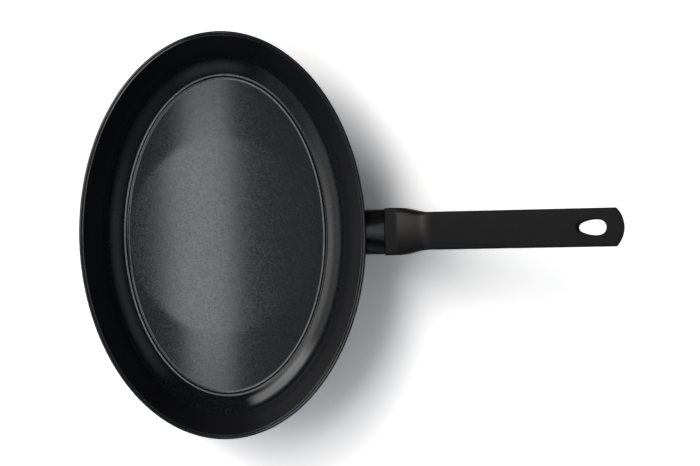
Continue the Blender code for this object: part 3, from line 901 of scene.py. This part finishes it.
def blend_colours(tree, share, first, second):
    """Mixes two colours, given as values or as sockets to link."""
    made = add(tree, "ShaderNodeMix", {"Factor": share}, data_type="RGBA")
    for place, value in zip(MIX_INPUTS, (first, second)):
        if isinstance(value, bpy.types.NodeSocket):
            tree.links.new(value, made.inputs[place])
        else:
            made.inputs[place].default_value = (*value, 1)
    return made.outputs[MIX_OUTPUT]


def tinted(tree, strength, colour):
    """A colour scaled by a strength."""
    made = add(tree, "ShaderNodeVectorMath", {0: colour, "Scale": strength}, operation="SCALE")
    return made.outputs["Vector"]


def added(tree, first, second):
    return add(tree, "ShaderNodeVectorMath", {0: first, 1: second}, operation="ADD").outputs["Vector"]


def varied(tree, share, colour, shades):
    """A colour that share takes from its darkest shade to its palest."""
    ends = [tuple(min(part * shade, 1) for part in colour) for shade in shades]
    return blend_colours(tree, share, *ends)


def uneven_gloss(tree, share, lowest, highest):
    """Roughness that share takes from lowest to highest."""
    return ramp(tree, share, lowest, highest, *NOISE_RANGE)


def bump(tree, height, distance):
    inputs = {"Height": height, "Distance": distance, "Strength": 1.0}
    return add(tree, "ShaderNodeBump", inputs).outputs["Normal"]


def set_shader(tree, **sockets):
    """Links sockets to the shader's inputs, whose spaces are written as underscores."""
    shader = tree.nodes["Principled BSDF"]
    for key, socket in sockets.items():
        tree.links.new(socket, shader.inputs[key.replace("_", " ")])


def coating_material():
    """Black non-stick coating: orange peel, fine pale flecks, slightly uneven gloss, and a painted sheen
    on steep parts.
    """
    made = material("black non-stick coating", IOR=COATING_IOR)
    tree = made.node_tree
    place = place_socket(tree)
    cells = add(tree, "ShaderNodeTexVoronoi", {"Vector": place, "Scale": CELL_SCALE, "Randomness": 1.0})
    draws = add(tree, "ShaderNodeSeparateColor", {"Color": cells.outputs["Color"]})
    chosen = math_node(tree, "GREATER_THAN", draws.outputs["Red"], 1 - FLECK_SHARE)
    near = ramp(tree, cells.outputs["Distance"], 1.0, 0.0, *FLECK_EDGE)
    fleck = math_node(tree, "MULTIPLY", chosen, near)
    patches = noise(tree, place, *COATING_NOISE)
    ground = blend_colours(tree, patches, *COATING_COLOURS)
    flecked = blend_colours(tree, fleck, ground, FLECK_COLOUR)
    normal = add(tree, "ShaderNodeNewGeometry").outputs["Normal"]
    facing = add(tree, "ShaderNodeSeparateXYZ", {"Vector": normal}).outputs["Z"]
    steep = ramp(tree, facing, 1.0, 0.0, *STEEP_FACING)
    grit = ramp(tree, draws.outputs["Green"], *COATING_ROUGHNESS)
    dull = math_node(tree, "MULTIPLY", steep, STEEP_DULLNESS)
    set_shader(
        tree,
        # Steep parts take a paler colour, a painted sheen
        Base_Color=blend_colours(tree, steep, flecked, PAINTED_SHEEN_COLOUR),
        Roughness=math_node(tree, "ADD", grit, dull),
        Normal=bump(tree, noise(tree, place, *PEEL_NOISE), PEEL_DEPTH),
    )
    return made


def turned_metal(name, colour, roughness, pitch):
    """Bare metal faced on a lathe: fine rings round the upright axis."""
    made = material(name, Metallic=1.0, IOR=METAL_IOR)
    tree = made.node_tree
    place = place_socket(tree)
    parts = add(tree, "ShaderNodeSeparateXYZ", {"Vector": place})
    squares = [math_node(tree, "MULTIPLY", parts.outputs[axis], parts.outputs[axis]) for axis in "XY"]
    radius = math_node(tree, "SQRT", math_node(tree, "ADD", *squares))
    ring_place = add(tree, "ShaderNodeCombineXYZ", {"X": radius}).outputs["Vector"]
    rings = noise(tree, ring_place, 1 / pitch, *RING_NOISE)
    scratches = noise(tree, place, *SCRATCH_NOISE)
    worn = math_node(tree, "MULTIPLY", rings, ramp(tree, scratches, *SCRATCH_WEAR))
    ends = [roughness + change for change in TURNED_ROUGHNESS_CHANGE]
    set_shader(
        tree,
        Base_Color=varied(tree, worn, colour, TURNED_SHADES),
        Roughness=uneven_gloss(tree, worn, *ends),
        Normal=bump(tree, rings, RING_DEPTH),
    )
    return made


def rough_metal(name, colour, roughness, grain, depth):
    """Cast or plated metal: grain, and patches that differ in shade and gloss."""
    made = material(name, Metallic=1.0, IOR=METAL_IOR)
    tree = made.node_tree
    place = place_socket(tree)
    patches = noise(tree, place, *DULL_NOISE)
    ends = [roughness + change for change in DULL_ROUGHNESS_CHANGE]
    set_shader(
        tree,
        Base_Color=varied(tree, patches, colour, DULL_SHADES),
        Roughness=uneven_gloss(tree, patches, *ends),
        Normal=bump(tree, noise(tree, place, grain, *PITTED_NOISE), depth),
    )
    return made


def grained(name, colour, grain, depth, ior):
    """Material with a fine grain and a slightly uneven colour, and its slow unevenness."""
    made = material(name, IOR=ior)
    tree = made.node_tree
    place = place_socket(tree)
    uneven = noise(tree, place, *UNEVEN_NOISE)
    set_shader(
        tree,
        Base_Color=varied(tree, uneven, colour, UNEVEN_SHADES),
        Normal=bump(tree, noise(tree, place, grain, *GRAIN_NOISE), depth),
    )
    return made, uneven


def paint_material():
    """Satin black paint whose gloss is slightly uneven."""
    made, uneven = grained("satin black paint", *PAINT)
    tree = made.node_tree
    set_shader(tree, Roughness=uneven_gloss(tree, uneven, *PAINT_ROUGHNESS))
    return made


def grip_material():
    """Soft-touch plastic, matt along the run and smoother over the taper behind the collar."""
    made, _ = grained("soft-touch black", *SOFT_TOUCH)
    tree = made.node_tree
    along = add(tree, "ShaderNodeSeparateXYZ", {"Vector": place_socket(tree)}).outputs["X"]
    begun, ended = (soft_step(tree, along, *edge) for edge in (SMOOTH_START, SMOOTH_END))
    smoother = math_node(tree, "SUBTRACT", begun, ended)
    set_shader(tree, Roughness=ramp(tree, smoother, MATT_ROUGHNESS, SMOOTH_ROUGHNESS))
    return made


def coat(obj, *materials):
    """Gives a piece these materials instead of its own."""
    obj.data.materials.clear()
    for made in materials:
        obj.data.materials.append(made)


def bare_base(pan):
    """Gives the flat underside, its recess and its pins the second material."""
    for face in pan.data.polygons:
        flat = abs(face.normal.z) > LEVEL_ABOVE and face.center.z < DISC_THICKNESS * 2
        low = face.center.z < DISC_THICKNESS
        inside = math.hypot(*face.center.xy) < recess_radius() + DISC_FIT
        if flat or low and inside:
            face.material_index = 1


def stand_for(obj, node):
    """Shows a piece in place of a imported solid."""
    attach(obj, "root")
    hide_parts(node)


def make_floor():
    """White floor that keeps the object's shadow."""
    half = FLOOR_HALF_SIZE
    corners = [(-half, -half, 0), (half, -half, 0), (half, half, 0), (-half, half, 0)]
    mesh = bpy.data.meshes.new("white_floor")
    mesh.from_pydata(corners, [], [(0, 1, 2, 3)])
    floor = new_object("white_floor", mesh)
    white = bpy.data.materials.new("white floor")
    white.use_nodes = True
    tree = white.node_tree
    tree.nodes.remove(tree.nodes["Principled BSDF"])
    path = add(tree, "ShaderNodeLightPath")
    brightness = ramp(tree, path.outputs["Is Camera Ray"], 1.0, FLOOR_EXPOSURE)
    paper = add(tree, "ShaderNodeBsdfDiffuse", {"Color": brightness})
    tree.links.new(paper.outputs["BSDF"], tree.nodes["Material Output"].inputs["Surface"])
    floor.data.materials.append(white)


def bright_patch(tree, azimuth, elevation, patch):
    """Light from a soft-edged range of directions."""
    radiance, middle, reach, blur, low, high, rise_blur, colour = patch
    turned = math_node(tree, "SUBTRACT", azimuth, middle)
    away = add(tree, "ShaderNodeMath", {0: turned, 1: HALF_TURN, 2: -HALF_TURN}, operation="WRAP")
    inside = soft_span(tree, away.outputs["Value"], -reach, reach, blur)
    lit = math_node(tree, "MULTIPLY", inside, soft_span(tree, elevation, low, high, rise_blur))
    return tinted(tree, math_node(tree, "MULTIPLY", lit, radiance), colour)


def light_room():
    """A dim room with bright parts, given by direction, that the camera sees as plain white."""
    world = bpy.data.worlds.new("studio")
    world.use_nodes = True
    bpy.context.scene.world = world
    tree = world.node_tree
    direction = add(tree, "ShaderNodeTexCoord").outputs["Generated"]
    parts = add(tree, "ShaderNodeSeparateXYZ", {"Vector": direction})
    x, y, z = (parts.outputs[axis] for axis in "XYZ")
    azimuth = math_node(tree, "DEGREES", math_node(tree, "ARCTAN2", y, x))
    elevation = math_node(tree, "DEGREES", math_node(tree, "ARCSINE", z))
    path = add(tree, "ShaderNodeLightPath")
    light = tinted(tree, ROOM_LEVEL, (1, 1, 1))
    for patch in ROOM_PATCHES:
        light = added(tree, light, bright_patch(tree, azimuth, elevation, patch))
    up = math_node(tree, "MAXIMUM", z, LOWEST_RISE)
    sideways, onward = math_node(tree, "DIVIDE", x, up), math_node(tree, "DIVIDE", y, up)
    across = soft_span(tree, sideways, *STRIP_X, STRIP_X_BLUR)
    parts = [
        math_node(tree, "MULTIPLY", soft_span(tree, onward, -reach, reach, blur), share * STRIP_RADIANCE)
        for share, reach, blur in (STRIP_MAIN, STRIP_REST)
    ]
    strip = math_node(tree, "MULTIPLY", across, math_node(tree, "ADD", *parts))
    overhead = tinted(tree, strip, STRIP_COLOUR)
    for patch in OVERHEAD_PATCHES:
        overhead = added(tree, overhead, bright_patch(tree, azimuth, elevation, patch))
    light = added(tree, light, tinted(tree, path.outputs["Is Glossy Ray"], overhead))
    seen = math_node(tree, "MAXIMUM", path.outputs["Is Camera Ray"], path.outputs["Is Transmission Ray"])
    tree.links.new(blend_colours(tree, seen, light, (1, 1, 1)), tree.nodes["Background"].inputs["Color"])
    tree.nodes["Background"].inputs["Strength"].default_value = 1.0


def add_camera():
    """Camera that looks straight down."""
    camera = bpy.data.cameras.new("camera")
    camera.lens = CAMERA_LENS
    camera.sensor_width = CAMERA_SENSOR
    camera.clip_end = CAMERA_REACH
    obj = new_object("camera", camera)
    obj.location = CAMERA_PLACE
    obj.rotation_euler = (0, 0, CAMERA_TURN)
    bpy.context.scene.camera = obj


def dress():
    """Builds the fine pieces, and gives every piece its finish."""
    place = handle_matrix()
    pan, disc, sleeve, grip = make_pan(), make_disc(), make_sleeve(place), make_grip(place)
    coat(pan, coating_material(), turned_metal("faced aluminium", *FACED_ALUMINIUM))
    bare_base(pan)
    coat(disc, turned_metal("ground stainless steel", *GROUND_STEEL))
    coat(sleeve, paint_material())
    coat(grip, grip_material())
    stand_for(pan, "pan_body")
    stand_for(disc, "base_disc")
    stand_for(sleeve, "flame_guard")
    stand_for(grip, "handle_grip")
    finishes = {
        rough_metal("cast aluminium", *CAST_ALUMINIUM): ["handle_bracket"],
        rough_metal("bright aluminium", *BRIGHT_ALUMINIUM): ["weld_stud_left", "weld_stud_right"],
        rough_metal("zinc-plated steel", *ZINC_PLATE): [
            "square_nut", "flat_washer", "spring_washer", "handle_screw"
        ],
    }
    for finish, names in finishes.items():
        for name in names:
            coat(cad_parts[name], finish)


bpy.context.scene.view_settings.view_transform = "Standard"
dress()
make_floor()
light_room()
add_camera()
